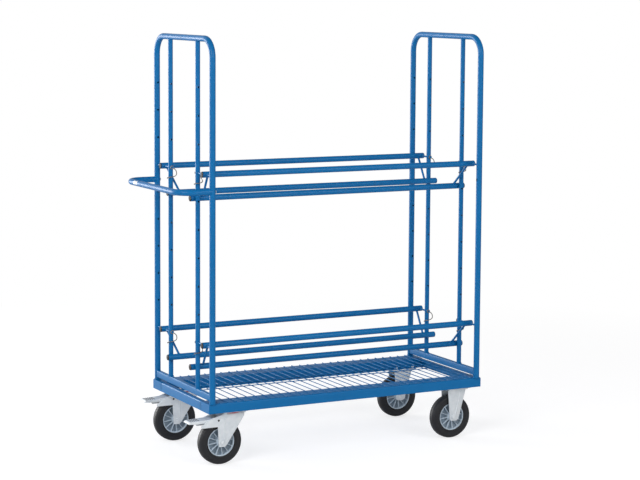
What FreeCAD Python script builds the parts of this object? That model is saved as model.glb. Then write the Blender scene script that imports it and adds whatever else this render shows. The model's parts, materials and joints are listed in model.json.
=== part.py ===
"""Mobile tyre storage rack: tube frames on a wire mesh deck with casters, one STEP file per piece.

Row frame in mm: +X along the rack towards the fixed casters, +Y to the back, +Z up from the floor.
The driving sizes sit in the sheet "Sizes"; every piece below is bound to them by expressions.
"""
import FreeCAD
import Part
import Sketcher
import os

SIZES = {
    # end frames: outer hoop tube, inner uprights, crossbar
    "leg_span": 1335, "leg_depth": 612, "plane_shift": 67.725, "hoop_top": 1850, "hoop_bend": 80,
    "tube_radius": 13.45, "tube_wall": 2.3, "upright_radius": 10.65, "upright_wall": 2,
    "upright_inset": 156, "crossbar_width": 20, "crossbar_height": 30, "crossbar_gap": 11,
    "crossbar_wall": 2,
    "drain_radius": 3,
    # hole rows in the end frames, and the levels the rails hang at
    "hole_base": 524, "hole_pitch": 124, "hole_radius": 4.5, "lower_level": 524, "upper_level": 1268,
    # tyre rails
    "upper_inset": 75, "upper_over": 15, "lower_inset": 180.5, "lower_over": 25, "rail_drop": 112,
    "plug_cap": 3, "plug_length": 15, "strut_radius": 5, "strut_foot": 34, "strut_head": 12,
    "rod_radius": 4.2, "rod_start": 4, "rod_over": 10, "slip": 0.05,
    # lock clips
    "wire_radius": 2, "clip_reach": 22, "clip_drop": 44, "eye_gap": 3,
    # push handle
    "handle_level": 1200, "handle_reach": 150, "handle_bend": 75, "handle_insert": 25,
    "handle_bolt": 5, "bolt_head": 8, "bolt_dome": 3.6, "spare_hole": 5.5,
    # deck frame and mesh
    "base_low": 238, "base_height": 42, "end_over": 19, "side_over": 8, "sheet": 4,
    "flange_width": 95, "end_flange": 22, "mat_wire": 2, "mat_margin": 30, "mat_side": 3,
    "mat_gaps": 31, "long_wire": 41, "long_margin": 22,
    "caster_rail_width": 104, "caster_rail_sheet": 5, "caster_rail_shift": 3,
    # casters
    "caster_inset": 56, "swivel_x": 113, "fixed_axle": 108, "fixed_plate_shift": 20, "trail": 55,
    "plate_length": 120, "plate_width": 106, "plate_sheet": 4, "bolt_x": 45, "bolt_y": 42,
    "bolt_radius": 4, "nut_radius": 7.5, "nut_height": 5.4,
    "wheel_radius": 100, "wheel_width": 46, "rim_radius": 63, "rim_width": 38, "rim_skin": 5,
    "hub_radius": 20, "hub_width": 54, "rib_sheet": 3, "web_sheet": 5,
    "axle_radius": 6, "fork_gap": 58, "fork_sheet": 4, "crown_low": 220, "crown_top": 226,
    "crown_radius": 50, "kingpin_radius": 8, "seal_outer": 41, "race_radius": 30, "air": 0.4,
    "arm_level": 171, "leg_round": 18, "pivot_back": 17, "pivot_level": 199, "pivot_radius": 4,
    "pedal_reach": 158, "pedal_sheet": 2.5, "pedal_lip": 16, "stud_sink": 1.5, "tread_end": 34,
}
TIERS = {"lower": "Sizes.lower_level", "upper": "Sizes.upper_level"}
LEFT = "(Sizes.plane_shift - Sizes.leg_span / 2)"
RIGHT = "(Sizes.plane_shift + Sizes.leg_span / 2)"
FRONT = "(-Sizes.leg_depth / 2)"
BACK = "(Sizes.leg_depth / 2)"
ENDS = {"left": (LEFT, -1), "right": (RIGHT, 1)}
SIDES = {"front": (FRONT, 1), "back": (BACK, -1)}
DECK_TOP = "(Sizes.base_low + Sizes.base_height)"
TURNS = {
    "x": FreeCAD.Rotation(FreeCAD.Vector(0, 1, 0), 90),
    "y": FreeCAD.Rotation(FreeCAD.Vector(1, 0, 0), -90),
    "z": FreeCAD.Rotation(),
    "back to front": FreeCAD.Rotation(FreeCAD.Vector(0, 0, 1), 180),
}


def make_sheet(doc):
    """Fill the sheet with the driving sizes, one alias per row."""
    sheet = doc.addObject("Spreadsheet::Sheet", "Sizes")
    for row, (alias, value) in enumerate(SIZES.items(), 1):
        sheet.set(f"A{row}", alias)
        sheet.set(f"B{row}", str(value))
        sheet.setAlias(f"B{row}", alias)
    doc.recompute()
    return sheet


def place(obj, spot, turn=None):
    """Turn an object, then bind its position to three expressions."""
    if turn:
        obj.Placement = FreeCAD.Placement(FreeCAD.Vector(), turn)
    for letter, text in zip("xyz", spot):
        obj.setExpression(f"Placement.Base.{letter}", text)
    return obj


def bound(doc, kind, label, sizes):
    """Add an object and bind its sizes."""
    obj = doc.addObject(kind, label)
    obj.Label = label
    for name, text in sizes.items():
        obj.setExpression(name, text)
    return obj


def rod(doc, label, radius, length, spot, along="z"):
    """Add a round bar that starts at spot and runs along one axis."""
    bar = bound(doc, "Part::Cylinder", label, {"Radius": radius, "Height": length})
    return place(bar, spot, TURNS[along])


def block(doc, label, size, spot):
    """Add a box that is centred on spot in X and Y and stands on its Z."""
    box = bound(doc, "Part::Box", label, dict(zip(("Length", "Width", "Height"), size)))
    corner = (f"{spot[0]} - ({size[0]}) / 2", f"{spot[1]} - ({size[1]}) / 2", spot[2])
    return place(box, corner)


def hexagon(doc, label, radius, height, spot, along="z"):
    """Add a six-sided head or nut."""
    prism = bound(doc, "Part::Prism", label, {"Circumradius": radius, "Height": height})
    prism.Polygon = 6
    return place(prism, spot, TURNS[along])


def bend(doc, label, ring, radius, spot, first, second):
    """Add a quarter of a torus that sweeps from one direction to the next."""
    start, after = FreeCAD.Vector(*first), FreeCAD.Vector(*second)
    arc = bound(doc, "Part::Torus", label, {"Radius1": ring, "Radius2": radius})
    arc.Angle3 = 90
    return place(arc, spot, FreeCAD.Rotation(start, after, start.cross(after), "ZXY"))


def fuse(doc, label, shapes):
    """Join shapes into one."""
    joined = doc.addObject("Part::MultiFuse", label)
    joined.Shapes = shapes
    joined.Label = label
    return joined


def cut(doc, label, base, tools):
    """Take the tools away from the base."""
    left = doc.addObject("Part::Cut", label)
    left.Base = base
    left.Tool = tools[0] if len(tools) == 1 else fuse(doc, f"{label}_tools", tools)
    left.Label = label
    return left


def group(doc, label, shapes):
    """Hold equal pieces as separate solids under one name."""
    several = doc.addObject("Part::Compound", label)
    several.Links = shapes
    several.Label = label
    return several


def profile(doc, body, plane, points):
    """Draw a closed polygon whose corners are all bound to expressions."""
    sketch = body.newObject("Sketcher::SketchObject", f"{body.Name}_profile")
    base = next(f for f in body.Origin.OriginFeatures if f.Role == plane)
    sketch.AttachmentSupport = [(base, "")]
    sketch.MapMode = "FlatFace"
    count = len(points)
    for index in range(count):
        start = FreeCAD.Vector(10 + index, 10 + index * index, 0)
        after = (index + 1) % count
        end = FreeCAD.Vector(10 + after, 10 + after * after, 0)
        sketch.addGeometry(Part.LineSegment(start, end))
    for index in range(count):
        sketch.addConstraint(Sketcher.Constraint("Coincident", index, 2, (index + 1) % count, 1))
    for index, corner in enumerate(points):
        for kind, text in zip(("DistanceX", "DistanceY"), corner):
            seat = sketch.addConstraint(Sketcher.Constraint(kind, -1, 1, index, 1, 5.0))
            sketch.setExpression(f"Constraints[{seat}]", text)
    return sketch


def body_of(doc, label):
    """Start a body with its own label."""
    body = doc.addObject("PartDesign::Body", label)
    body.Label = label
    return body


def holes_along_y(doc, label, x, start, length, levels):
    """Round cutters along Y, one at each level."""
    return [rod(doc, f"{label}_{i}", "Sizes.hole_radius", length, (x, start, z), "y")
            for i, z in enumerate(levels)]


def hole_levels():
    """The heights of the hole rows."""
    return [f"Sizes.hole_base + {i} * Sizes.hole_pitch" for i in range(10)]


def make_long_member(doc, side):
    """Fold one long edge of the deck frame: an outer web with a top flange."""
    body = body_of(doc, f"{side}_member")
    depth, height, skin = "Sizes.flange_width", "Sizes.base_height", "Sizes.sheet"
    corners = [("0", "0"), (skin, "0"), (skin, f"{height} - {skin}"),
               (depth, f"{height} - {skin}"), (depth, height), ("0", height)]
    sketch = profile(doc, body, "YZ_Plane", corners)
    pad = body.newObject("PartDesign::Pad", f"{side}_member_pad")
    pad.Profile = sketch
    pad.Midplane = True
    pad.setExpression("Length", "Sizes.leg_span + 2 * Sizes.end_over")
    body.Tip = pad
    y, way = SIDES[side]
    turn = TURNS["z"] if way > 0 else TURNS["back to front"]
    return place(body, ("Sizes.plane_shift", f"{y} - {way} * Sizes.side_over", "Sizes.base_low"), turn)


def make_end_member(doc, end):
    """Weld one short edge of the deck frame between the long ones."""
    x, way = ENDS[end]
    skin = "Sizes.sheet"
    outer = f"({x} + {way} * Sizes.end_over)"
    span = "(Sizes.leg_depth + 2 * Sizes.side_over)"
    web = block(doc, f"{end}_end_web", (skin, f"{span} - 2 * {skin}", f"Sizes.base_height - {skin}"),
                (f"{outer} - {way} * {skin} / 2", "0", "Sizes.base_low"))
    flange = block(doc, f"{end}_end_flange",
                   ("Sizes.end_flange", f"{span} - 2 * Sizes.flange_width", skin),
                   (f"{outer} - {way} * Sizes.end_flange / 2", "0", f"{DECK_TOP} - {skin}"))
    return fuse(doc, f"{end}_member", [web, flange])


def plate_spots(end):
    """The plate centre of the caster at one end, as X expressions."""
    if end == "left":
        return f"({LEFT} + Sizes.swivel_x)"
    return f"({RIGHT} - Sizes.fixed_axle + Sizes.fixed_plate_shift)"


def bolt_spots(end, y):
    """The four bolt positions of one caster plate."""
    x = plate_spots(end)
    return [(f"{x} + {i} * Sizes.bolt_x", f"{y} + {j} * Sizes.bolt_y") for i in (-1, 1) for j in (-1, 1)]


def caster_row(side):
    """The Y line of the casters on one side."""
    y, way = SIDES[side]
    return f"({y} + {way} * Sizes.caster_inset)"


def make_caster_rail(doc, side):
    """Lay the flat bar that carries the two caster plates of one side."""
    y, way = SIDES[side]
    bar = block(doc, f"{side}_rail_bar",
                ("Sizes.leg_span + 2 * Sizes.end_over - 2 * Sizes.sheet", "Sizes.caster_rail_width",
                 "Sizes.caster_rail_sheet"),
                ("Sizes.plane_shift", f"{caster_row(side)} - {way} * Sizes.caster_rail_shift",
                 "Sizes.base_low"))
    spots = bolt_spots("left", caster_row(side)) + bolt_spots("right", caster_row(side))
    cutters = [rod(doc, f"{side}_rail_hole_{i}", "Sizes.bolt_radius", "Sizes.caster_rail_sheet + 2",
                   (x, y2, "Sizes.base_low - 1")) for i, (x, y2) in enumerate(spots)]
    return cut(doc, f"{side}_caster_rail", bar, cutters)


def make_mesh(doc):
    """Weld the deck mat: close cross wires with two long wires on them."""
    pitch = "((Sizes.leg_span - 2 * Sizes.mat_margin) / Sizes.mat_gaps)"
    low = f"{FRONT} - Sizes.side_over + Sizes.mat_side"
    reach = "Sizes.leg_depth + 2 * Sizes.side_over - 2 * Sizes.mat_side"
    cross = [rod(doc, f"cross_wire_{i}", "Sizes.mat_wire", reach,
                 (f"{LEFT} + Sizes.mat_margin + {i} * {pitch}", low, f"{DECK_TOP} + Sizes.mat_wire"), "y")
             for i in range(int(SIZES["mat_gaps"]) + 1)]
    long = [rod(doc, f"long_wire_{i}", "Sizes.mat_wire", "Sizes.leg_span - 2 * Sizes.long_margin",
                (f"{LEFT} + Sizes.long_margin", f"{i} * Sizes.long_wire",
                 f"{DECK_TOP} + 3 * Sizes.mat_wire"), "x") for i in (-1, 1)]
    return [group(doc, "mesh_cross_wires", cross), group(doc, "mesh_long_wires", long)]


def hoop_solid(doc, label, x, radius, low):
    """The U of one end frame as a solid bar of the given radius."""
    reach = "Sizes.hoop_top - Sizes.hoop_bend"
    parts = []
    for side, (y, way) in SIDES.items():
        parts.append(rod(doc, f"{label}_{side}_leg", radius, f"{reach} - ({low})", (x, y, low)))
        middle = (x, f"{y} + {way} * Sizes.hoop_bend", reach)
        first, second = ((0, 0, 1), (0, -1, 0)) if way > 0 else ((0, 1, 0), (0, 0, 1))
        parts.append(bend(doc, f"{label}_{side}_bend", "Sizes.hoop_bend", radius, middle, first, second))
    parts.append(rod(doc, f"{label}_top", radius, "Sizes.leg_depth - 2 * Sizes.hoop_bend",
                     (x, f"{FRONT} + Sizes.hoop_bend", "Sizes.hoop_top"), "y"))
    return fuse(doc, label, parts)


def make_hoop(doc, end):
    """Bend one end hoop and drill its rows of holes."""
    x, way = ENDS[end]
    outer = hoop_solid(doc, f"{end}_hoop_outer", x, "Sizes.tube_radius", DECK_TOP)
    inner = hoop_solid(doc, f"{end}_hoop_inner", x, "Sizes.tube_radius - Sizes.tube_wall",
                       f"{DECK_TOP} - 5")
    cutters = [inner]
    for side, (y, inward) in SIDES.items():
        start = y if inward > 0 else f"{y} - 20"
        cutters += holes_along_y(doc, f"{end}_{side}_row", x, start, "20", hole_levels())
        cutters.append(rod(doc, f"{end}_{side}_cross_hole", "Sizes.spare_hole", "40",
                           (f"{x} - 20", y, "Sizes.handle_level"), "x"))
    cutters.append(rod(doc, f"{end}_drain", "Sizes.drain_radius", "20",
                       (f"{x} - 20", "0", "Sizes.hoop_top"), "x"))
    return cut(doc, f"{end}_hoop", outer, cutters)


def upright_line(side):
    """The Y line of an inner upright."""
    y, way = SIDES[side]
    return f"({y} + {way} * Sizes.upright_inset)"


def make_upright(doc, end, side):
    """Stand one inner upright between the crossbar and the hoop."""
    x, y = ENDS[end][0], upright_line(side)
    name = f"{end}_{side}_upright"
    low = f"({DECK_TOP} + Sizes.crossbar_gap + Sizes.crossbar_height)"
    tube = rod(doc, f"{name}_tube", "Sizes.upright_radius", f"Sizes.hoop_top - {low}", (x, y, low))
    bore = rod(doc, f"{name}_bore", "Sizes.upright_radius - Sizes.upright_wall", "Sizes.hoop_top",
               (x, y, f"{low} - 5"))
    saddle = rod(doc, f"{name}_saddle", "Sizes.tube_radius", "60",
                 (x, f"{y} - 30", "Sizes.hoop_top"), "y")
    row = holes_along_y(doc, f"{name}_row", x, f"{y} - 20", "40", hole_levels())
    return cut(doc, name, tube, [bore, saddle] + row)


def make_crossbar(doc, end):
    """Weld the rectangular bar low down between the legs of one hoop."""
    x = ENDS[end][0]
    low = f"{DECK_TOP} + Sizes.crossbar_gap"
    width, height, wall = "Sizes.crossbar_width", "Sizes.crossbar_height", "Sizes.crossbar_wall"
    outer = block(doc, f"{end}_bar_outer", (width, "Sizes.leg_depth", height), (x, "0", low))
    inner = block(doc, f"{end}_bar_inner", (f"{width} - 2 * {wall}", "Sizes.leg_depth + 2",
                  f"{height} - 2 * {wall}"), (x, "0", f"{low} + {wall}"))
    saddles = [rod(doc, f"{end}_{name}_bar_saddle", "Sizes.tube_radius", "60",
                   (x, y, f"{low} - 15")) for name, (y, _) in SIDES.items()]
    return cut(doc, f"{end}_crossbar", outer, [inner] + saddles)


def handle_solid(doc, label, radius):
    """The U of the push handle as a solid bar."""
    far = f"{LEFT} - Sizes.handle_reach"
    arm = "Sizes.handle_reach - Sizes.handle_bend"
    parts = []
    for side, (y, way) in SIDES.items():
        parts.append(rod(doc, f"{label}_{side}_arm", radius, arm,
                         (f"{far} + Sizes.handle_bend", y, "Sizes.handle_level"), "x"))
        middle = (f"{far} + Sizes.handle_bend", f"{y} + {way} * Sizes.handle_bend", "Sizes.handle_level")
        first, second = ((-1, 0, 0), (0, -1, 0)) if way > 0 else ((0, 1, 0), (-1, 0, 0))
        parts.append(bend(doc, f"{label}_{side}_bend", "Sizes.handle_bend", radius, middle, first, second))
    parts.append(rod(doc, f"{label}_grip", radius, "Sizes.leg_depth - 2 * Sizes.handle_bend",
                     (far, f"{FRONT} + Sizes.handle_bend", "Sizes.handle_level"), "y"))
    return fuse(doc, label, parts)


def make_handle(doc):
    """Bend the push handle, with a threaded insert in each arm."""
    outer = handle_solid(doc, "handle_outer", "Sizes.tube_radius")
    hollow = handle_solid(doc, "handle_inner", "Sizes.tube_radius - Sizes.tube_wall")
    shell = cut(doc, "handle_shell", outer, [hollow])
    inserts = [rod(doc, f"{side}_insert", "Sizes.tube_radius - Sizes.tube_wall", "Sizes.handle_insert",
                   (f"{LEFT} - Sizes.handle_insert", y, "Sizes.handle_level"), "x")
               for side, (y, _) in SIDES.items()]
    whole = fuse(doc, "handle_whole", [shell] + inserts)
    cutters = []
    for side, (y, _) in SIDES.items():
        cutters.append(rod(doc, f"{side}_arm_saddle", "Sizes.tube_radius", "60",
                           (LEFT, y, "Sizes.handle_level - 30")))
        cutters.append(rod(doc, f"{side}_arm_thread", "Sizes.handle_bolt", "60",
                           (f"{LEFT} - 60", y, "Sizes.handle_level"), "x"))
    return cut(doc, "push_handle", whole, cutters)


def make_handle_bolts(doc):
    """Screw the handle on with one low-headed bolt through each left leg."""
    bolts = []
    for side, (y, _) in SIDES.items():
        seat = f"{LEFT} + Sizes.tube_radius"
        shank = rod(doc, f"{side}_handle_shank", "Sizes.handle_bolt",
                    "Sizes.tube_radius + Sizes.handle_insert - 2",
                    (f"{LEFT} - Sizes.handle_insert + 2", y, "Sizes.handle_level"), "x")
        head = bound(doc, "Part::Cone", f"{side}_handle_head",
                     {"Radius1": "Sizes.bolt_head", "Radius2": "Sizes.bolt_head / 2",
                      "Height": "Sizes.bolt_dome"})
        place(head, (seat, y, "Sizes.handle_level"), TURNS["x"])
        bolts.append(fuse(doc, f"{side}_handle_bolt", [shank, head]))
    return group(doc, "handle_bolts", bolts)


def rail_lines():
    """Every rail: name, Y line, level and overhang."""
    lines = []
    for tier, level in TIERS.items():
        for side, (y, way) in SIDES.items():
            lines.append((f"{tier}_tier_{side}_top_rail", f"({y} + {way} * Sizes.upper_inset)",
                          level, "Sizes.upper_over"))
            lines.append((f"{tier}_tier_{side}_low_rail", f"({y} + {way} * Sizes.lower_inset)",
                          f"({level} - Sizes.rail_drop)", "Sizes.lower_over"))
    return lines


def make_rail(doc, name, y, z, over):
    """Cut one tyre rail; a top rail is drilled for its two hanger rods."""
    start = f"{LEFT} - {over}"
    reach = f"Sizes.leg_span + 2 * {over}"
    tube = rod(doc, f"{name}_tube", "Sizes.tube_radius", reach, (start, y, z), "x")
    cutters = [rod(doc, f"{name}_bore", "Sizes.tube_radius - Sizes.tube_wall", f"{reach} + 2",
                   (f"{start} - 1", y, z), "x")]
    if name.endswith("top_rail"):
        cutters += [rod(doc, f"{name}_{end}_hole", "Sizes.rod_radius + Sizes.slip", "40",
                        (x, f"{y} - 20", z), "y") for end, (x, _) in ENDS.items()]
    return cut(doc, name, tube, cutters)


def make_plugs(doc):
    """Push a plastic plug into every rail end."""
    plugs = []
    for name, y, z, over in rail_lines():
        for end, (x, way) in ENDS.items():
            tip = f"{x} + {way} * {over}"
            stub = "Sizes.plug_cap + 4" if name.endswith("top_rail") else "Sizes.plug_length"
            cap = rod(doc, f"{name}_{end}_cap", "Sizes.tube_radius", "Sizes.plug_cap",
                      (tip if way > 0 else f"{tip} - Sizes.plug_cap", y, z), "x")
            stem = rod(doc, f"{name}_{end}_stem", "Sizes.tube_radius - Sizes.tube_wall", stub,
                       (f"{tip} + Sizes.plug_cap - ({stub})" if way > 0 else f"{tip} - Sizes.plug_cap",
                        y, z), "x")
            plugs.append(fuse(doc, f"{name}_{end}_plug", [cap, stem]))
    return group(doc, "rail_end_plugs", plugs)


def make_hanger_rods(doc):
    """Pin each top rail end to the outer leg and the inner upright."""
    rods = []
    reach = "(Sizes.upright_inset + Sizes.upright_radius + Sizes.rod_over - Sizes.rod_start)"
    for tier, level in TIERS.items():
        for end, (x, _) in ENDS.items():
            for side, (y, way) in SIDES.items():
                near = f"{y} + {way} * Sizes.rod_start"
                start = near if way > 0 else f"{near} - {reach}"
                rods.append(rod(doc, f"{tier}_{end}_{side}_rod", "Sizes.rod_radius", reach,
                                (x, start, level), "y"))
    return group(doc, "hanger_rods", rods)


def make_struts(doc):
    """Weld a slanting strut between the top and low rail near each end."""
    struts = []
    across = "(Sizes.lower_inset - Sizes.upper_inset)"
    lean = "(Sizes.strut_foot - Sizes.strut_head)"
    for tier, level in TIERS.items():
        for end, (x, way) in ENDS.items():
            for side, (y, inward) in SIDES.items():
                name = f"{tier}_{end}_{side}_strut"
                spot = (f"{x} - {way} * Sizes.strut_foot", f"{y} + {inward} * Sizes.lower_inset",
                        f"{level} - Sizes.rail_drop")
                bar = rod(doc, f"{name}_bar", "Sizes.strut_radius",
                          f"sqrt({lean} ^ 2 + {across} ^ 2 + Sizes.rail_drop ^ 2)", spot)
                bar.setExpression("Placement.Rotation.Axis.x", f"{inward} * {across}")
                bar.setExpression("Placement.Rotation.Axis.y", f"{way} * {lean}")
                bar.setExpression("Placement.Rotation.Axis.z", "0")
                bar.setExpression("Placement.Rotation.Angle",
                                  f"atan(sqrt({lean} ^ 2 + {across} ^ 2) / Sizes.rail_drop)")
                saddles = [rod(doc, f"{name}_{k}", "Sizes.tube_radius", "80",
                               (f"{spot[0]} - 40", line, height), "x")
                           for k, (line, height) in enumerate((
                               (spot[1], spot[2]), (f"{y} + {inward} * Sizes.upper_inset", level)))]
                struts.append(cut(doc, name, bar, saddles))
    return group(doc, "rail_struts", struts)


def make_clip(doc, sizes, tier, end, side):
    """Bend one spring wire lock clip round the tip of its hanger rod."""
    pick = {name: float(sizes.get(name)) for name in SIZES}
    inward = SIDES[side][1]
    wire, reach, drop = pick["wire_radius"], pick["clip_reach"], pick["clip_drop"]
    face = pick["upright_radius"]
    eye = face + pick["eye_gap"] + wire
    ring = pick["rod_radius"] + pick["slip"] + wire
    near, far = inward * eye, -(face + 2 + wire)
    points = [(ring * 0.7, near, -ring * 0.7), (reach * 0.82, near, -drop * 0.3),
              (reach, near * 0.9 if inward > 0 else near, -drop * 0.55),
              (reach * 0.92, far * 0.4 if inward > 0 else far, -drop * 0.8),
              (reach * 0.55, far, -drop * 0.92), (-reach * 0.6, far, -drop), (-reach, far, -drop * 1.06)]
    curve = Part.BSplineCurve()
    curve.interpolate([FreeCAD.Vector(*p) for p in points])
    path = Part.Wire([curve.toShape()])
    section = Part.Wire([Part.Circle(curve.value(curve.FirstParameter),
                                     curve.tangent(curve.FirstParameter)[0], wire).toShape()])
    tail = path.makePipeShell([section], True, True)
    loop = Part.makeTorus(ring, wire, FreeCAD.Vector(0, near, 0), FreeCAD.Vector(0, 1, 0))
    knob = Part.makeSphere(wire * 1.5, FreeCAD.Vector(*points[-1]))
    clip = doc.addObject("Part::Feature", f"{tier}_{end}_{side}_lock_clip")
    clip.Label = f"{tier}_{end}_{side}_lock_clip"
    clip.Shape = tail.fuse([loop, knob]).removeSplitter()
    return place(clip, (ENDS[end][0], upright_line(side), TIERS[tier]))


def make_frames(doc):
    """Both end frames."""
    nodes = []
    for end in ENDS:
        nodes += [make_hoop(doc, end), make_crossbar(doc, end)]
        nodes += [make_upright(doc, end, side) for side in SIDES]
    return nodes


def make_deck(doc):
    """The deck frame, its mat and the caster rails."""
    nodes = [make_long_member(doc, side) for side in SIDES]
    nodes += [make_end_member(doc, end) for end in ENDS]
    nodes += [make_caster_rail(doc, side) for side in SIDES]
    return nodes + make_mesh(doc)


def make_tiers(doc, sheet):
    """The tyre rails with all that holds them."""
    nodes = [make_rail(doc, *line) for line in rail_lines()]
    nodes += [make_plugs(doc), make_hanger_rods(doc), make_struts(doc)]
    return nodes + [make_clip(doc, sheet, tier, end, side)
                    for tier in TIERS for end in ENDS for side in SIDES]


def make_tyre(doc, name, x, y):
    """Turn one rubber tyre with rounded shoulders."""
    body = body_of(doc, f"{name}_tyre")
    half, edge = "Sizes.wheel_width / 2", "Sizes.wheel_radius"
    seat = "Sizes.rim_radius"
    corners = [(seat, f"{half} - 20"), (f"{seat} + 4", f"{half} - 21"),
               (f"{edge} - 13", f"{half} - 23"), (f"{edge} - 4", f"{half} - 19"),
               (edge, f"{half} - 10"), (edge, f"{half} + 10"),
               (f"{edge} - 4", f"{half} + 19"), (f"{edge} - 13", f"{half} + 23"),
               (f"{seat} + 4", f"{half} + 21"), (seat, f"{half} + 20")]
    return turned(doc, body, corners, x, y, "Sizes.wheel_width / 2")


def turned(doc, body, corners, x, y, middle):
    """Revolve a profile about its own axis and lay that axis along Y."""
    sketch = profile(doc, body, "XZ_Plane", corners)
    spin = body.newObject("PartDesign::Revolution", f"{body.Name}_turn")
    spin.Profile = sketch
    spin.ReferenceAxis = (sketch, ["V_Axis"])
    spin.Angle = 360
    body.Tip = spin
    return place(body, (x, f"{y} - {middle}", "Sizes.wheel_radius"), TURNS["y"])


def make_rim(doc, name, x, y):
    """Mould one ribbed rim: skin, web, hub and twelve ribs."""
    body = body_of(doc, f"{name}_rim")
    middle = "Sizes.hub_width / 2"
    half, skin = "Sizes.rim_width / 2", "Sizes.rim_skin"
    bore = "Sizes.axle_radius + 0.06"
    web = "Sizes.web_sheet / 2"
    edge = "Sizes.rim_radius"
    corners = [(bore, "0"), ("Sizes.hub_radius", "0"), ("Sizes.hub_radius", f"{middle} - {web}"),
               (f"{edge} - {skin}", f"{middle} - {web}"), (f"{edge} - {skin}", f"{middle} - {half}"),
               (edge, f"{middle} - {half}"), (edge, f"{middle} + {half}"),
               (f"{edge} - {skin}", f"{middle} + {half}"), (f"{edge} - {skin}", f"{middle} + {web}"),
               ("Sizes.hub_radius", f"{middle} + {web}"), ("Sizes.hub_radius", "Sizes.hub_width"),
               (bore, "Sizes.hub_width")]
    turned(doc, body, corners, x, y, "Sizes.hub_width / 2")
    doc.recompute()
    rib = body.newObject("PartDesign::AdditiveBox", f"{name}_rib")
    rib.setExpression("Length", f"{edge} - {skin} - Sizes.hub_radius + 2")
    rib.setExpression("Width", "Sizes.rib_sheet")
    rib.setExpression("Height", "Sizes.rim_width - 8")
    for letter, text in zip("xyz", ("Sizes.hub_radius - 1", "-Sizes.rib_sheet / 2",
                                    f"{middle} - {half} + 4")):
        rib.setExpression(f"Placement.Base.{letter}", text)
    around = body.newObject("PartDesign::PolarPattern", f"{name}_ribs")
    around.Originals = [rib]
    around.Axis = (next(f for f in body.Origin.OriginFeatures if f.Role == "Z_Axis"), [""])
    around.Angle = 360
    around.Occurrences = 12
    body.Tip = around
    return body


def make_axle(doc, name, x, y):
    """Push one axle bolt through a fork, with a nut on the far side."""
    outer = "(Sizes.fork_gap / 2 + Sizes.fork_sheet)"
    level = "Sizes.wheel_radius"
    shank = rod(doc, f"{name}_axle_shank", "Sizes.axle_radius", f"2 * {outer} + 12",
                (x, f"{y} - {outer} - 4", level), "y")
    head = hexagon(doc, f"{name}_axle_head", "9.5", "6", (x, f"{y} - {outer} - 6", level), "y")
    nut = hexagon(doc, f"{name}_axle_nut", "9.5", "6", (x, f"{y} + {outer}", level), "y")
    return fuse(doc, f"{name}_axle", [shank, head, nut])


def make_wheel(doc, name, x, y):
    """One wheel with its axle."""
    return [make_tyre(doc, name, x, y), make_rim(doc, name, x, y), make_axle(doc, name, x, y)]


def side_plate(doc, label, corners, x, y, width):
    """Pad a side view profile evenly about the caster's middle plane."""
    body = body_of(doc, label)
    sketch = profile(doc, body, "XZ_Plane", corners)
    pad = body.newObject("PartDesign::Pad", f"{label}_pad")
    pad.Profile = sketch
    pad.Midplane = True
    pad.setExpression("Length", width)
    body.Tip = pad
    return place(body, (x, y, "0"))


def make_swivel_fork(doc, name, x, y):
    """Press the swivel fork: crown, two raked legs and a short arm for the brake pedal."""
    far = "200"
    axle = f"{far} - Sizes.trail"
    corners = [(f"{axle} - 16", "Sizes.wheel_radius - 16"),
               (f"{axle} - 12", "Sizes.wheel_radius - 19"),
               (f"{axle} + 13", "Sizes.wheel_radius - 19"),
               (f"{axle} + 22", "Sizes.wheel_radius - 10"),
               (f"{far} + Sizes.crown_radius", "Sizes.crown_low - 8"),
               (f"{far} + Sizes.crown_radius", "Sizes.crown_top"),
               (f"{far} - Sizes.crown_radius", "Sizes.crown_top"),
               (f"{axle} - 60", "Sizes.pivot_level + 8"),
               (f"{axle} - 100", "Sizes.arm_level + 8"),
               (f"{axle} - 96", "Sizes.arm_level"), (f"{axle} - 21", "Sizes.arm_level")]
    skin = side_plate(doc, f"{name}_fork_block", corners, f"{x} - {far}", y,
                      "Sizes.fork_gap + 2 * Sizes.fork_sheet")
    hollow = block(doc, f"{name}_fork_hollow", ("400", "Sizes.fork_gap", "Sizes.crown_low"),
                   (x, y, "0"))
    king = rod(doc, f"{name}_fork_king", "Sizes.kingpin_radius + 0.06", "30",
               (x, y, "Sizes.crown_low - 10"))
    pin = rod(doc, f"{name}_fork_axle", "Sizes.axle_radius", "100",
              (f"{x} - Sizes.trail", f"{y} - 50", "Sizes.wheel_radius"), "y")
    pivot = rod(doc, f"{name}_fork_pivot", "Sizes.pivot_radius + 0.06", "100",
                (f"{x} - Sizes.trail - Sizes.pivot_back", f"{y} - 50", "Sizes.pivot_level"), "y")
    return cut(doc, f"{name}_fork", skin, [hollow, king, pin, pivot])


def make_swivel_plate(doc, name, x, y):
    """Press the swivel plate with its race, kingpin and nut."""
    top = "Sizes.base_low"
    sheet = block(doc, f"{name}_plate_sheet", ("Sizes.plate_length", "Sizes.plate_width",
                  "Sizes.plate_sheet"), (x, y, f"{top} - Sizes.plate_sheet"))
    race = rod(doc, f"{name}_race", "Sizes.race_radius",
               f"{top} - Sizes.plate_sheet - Sizes.crown_top - Sizes.air",
               (x, y, "Sizes.crown_top + Sizes.air"))
    pin = rod(doc, f"{name}_kingpin", "Sizes.kingpin_radius", f"{top} - Sizes.crown_low + 8",
              (x, y, "Sizes.crown_low - 8"))
    nut = hexagon(doc, f"{name}_kingpin_nut", "12", "7",
                  (x, y, "Sizes.crown_low - Sizes.air - 7"))
    whole = fuse(doc, f"{name}_plate_whole", [sheet, race, pin, nut])
    holes = [rod(doc, f"{name}_plate_hole_{i}", "Sizes.bolt_radius", "10", (a, b, f"{top} - 7"))
             for i, (a, b) in enumerate(bolt_spots("left", y))]
    return cut(doc, f"{name}_plate", whole, holes)


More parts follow.
